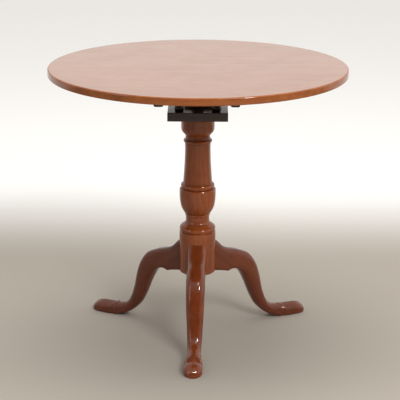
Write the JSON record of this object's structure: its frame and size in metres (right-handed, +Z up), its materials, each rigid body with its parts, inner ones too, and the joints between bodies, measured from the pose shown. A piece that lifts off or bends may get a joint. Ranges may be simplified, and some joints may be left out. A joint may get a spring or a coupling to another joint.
{
  "type": "tilt top table",
  "caption": "Round tilt-top tripod table: turned pillar, cabriole legs on pad feet, and a birdcage that lets the top turn and tip up.",
  "frame": {"origin": "on the floor, under the middle of the pillar", "axes": "+Z up; -Y is the front, the edge of the top that lifts; +X is to the right seen from the front, along the top's grain"},
  "size_m": [0.757, 0.757, 0.71],
  "materials": {
    "top_mahogany": "polished mahogany, golden red-brown, with a fine straight grain and a worn soft edge",
    "stand_mahogany": "French-polished mahogany, deep red-brown and glossy",
    "cage_mahogany": "dark stained mahogany, polished on the plates",
    "bearer_wood": "dark oiled mahogany, not polished",
    "pale_wood": "bare pale hardwood, dusty",
    "brass": "old brass, dulled",
    "iron": "black wrought iron with some rust",
    "steel": "dull steel screws"
  },
  "bodies": {
    "stand": {"pillar": "stand_mahogany", "leg_front": "stand_mahogany", "leg_left": "stand_mahogany", "leg_right": "stand_mahogany", "spider_strap": "iron", "strap_screw_1": "steel", "strap_screw_2": "steel", "strap_screw_3": "steel", "strap_screw_4": "steel", "strap_screw_5": "steel", "strap_screw_6": "steel"},
    "wedge": {"wedge": "pale_wood"},
    "cage": {"cage_lower_plate": "cage_mahogany", "cage_upper_plate": "cage_mahogany", "cage_baluster_1": "cage_mahogany", "cage_baluster_2": "cage_mahogany", "cage_baluster_3": "cage_mahogany", "cage_baluster_4": "cage_mahogany", "keeper": "brass", "keeper_screw_1": "brass", "keeper_screw_2": "brass"},
    "top": {"tabletop": "top_mahogany", "bearer_left": "bearer_wood", "bearer_right": "bearer_wood", "catch_case": "brass", "catch_spring": "steel", "bearer_screw_left_1": "steel", "bearer_screw_left_2": "steel", "bearer_screw_left_3": "steel", "bearer_screw_left_4": "steel", "bearer_screw_right_1": "steel", "bearer_screw_right_2": "steel", "bearer_screw_right_3": "steel", "bearer_screw_right_4": "steel", "catch_screw_1": "brass", "catch_screw_2": "brass", "catch_screw_3": "brass", "catch_screw_4": "brass"},
    "catch_bolt": {"catch_bolt": "brass"}
  },
  "joints": [
    {"name": "cage_swivel", "type": "hinge", "parent": "stand", "child": "cage", "pos_m": [0, 0, 0.595], "axis": [0, 0, 1], "continuous": true},
    {"name": "top_tilt", "type": "hinge", "parent": "cage", "child": "top", "pos_m": [0, 0.0648, 0.6795], "axis": [-1, 0, 0], "range_deg": [0, 88]},
    {"name": "catch_bolt_slide", "type": "slide", "parent": "top", "child": "catch_bolt", "axis": [0, -1, 0], "range_m": [0, 0.0085], "stiffness_N_per_m": 300, "springref_m": -0.004, "deforming": ["catch_spring"]},
    {"name": "wedge_drive", "type": "slide", "parent": "stand", "child": "wedge", "axis": [1, 0, 0], "range_m": [0, 0.036]}
  ]
}
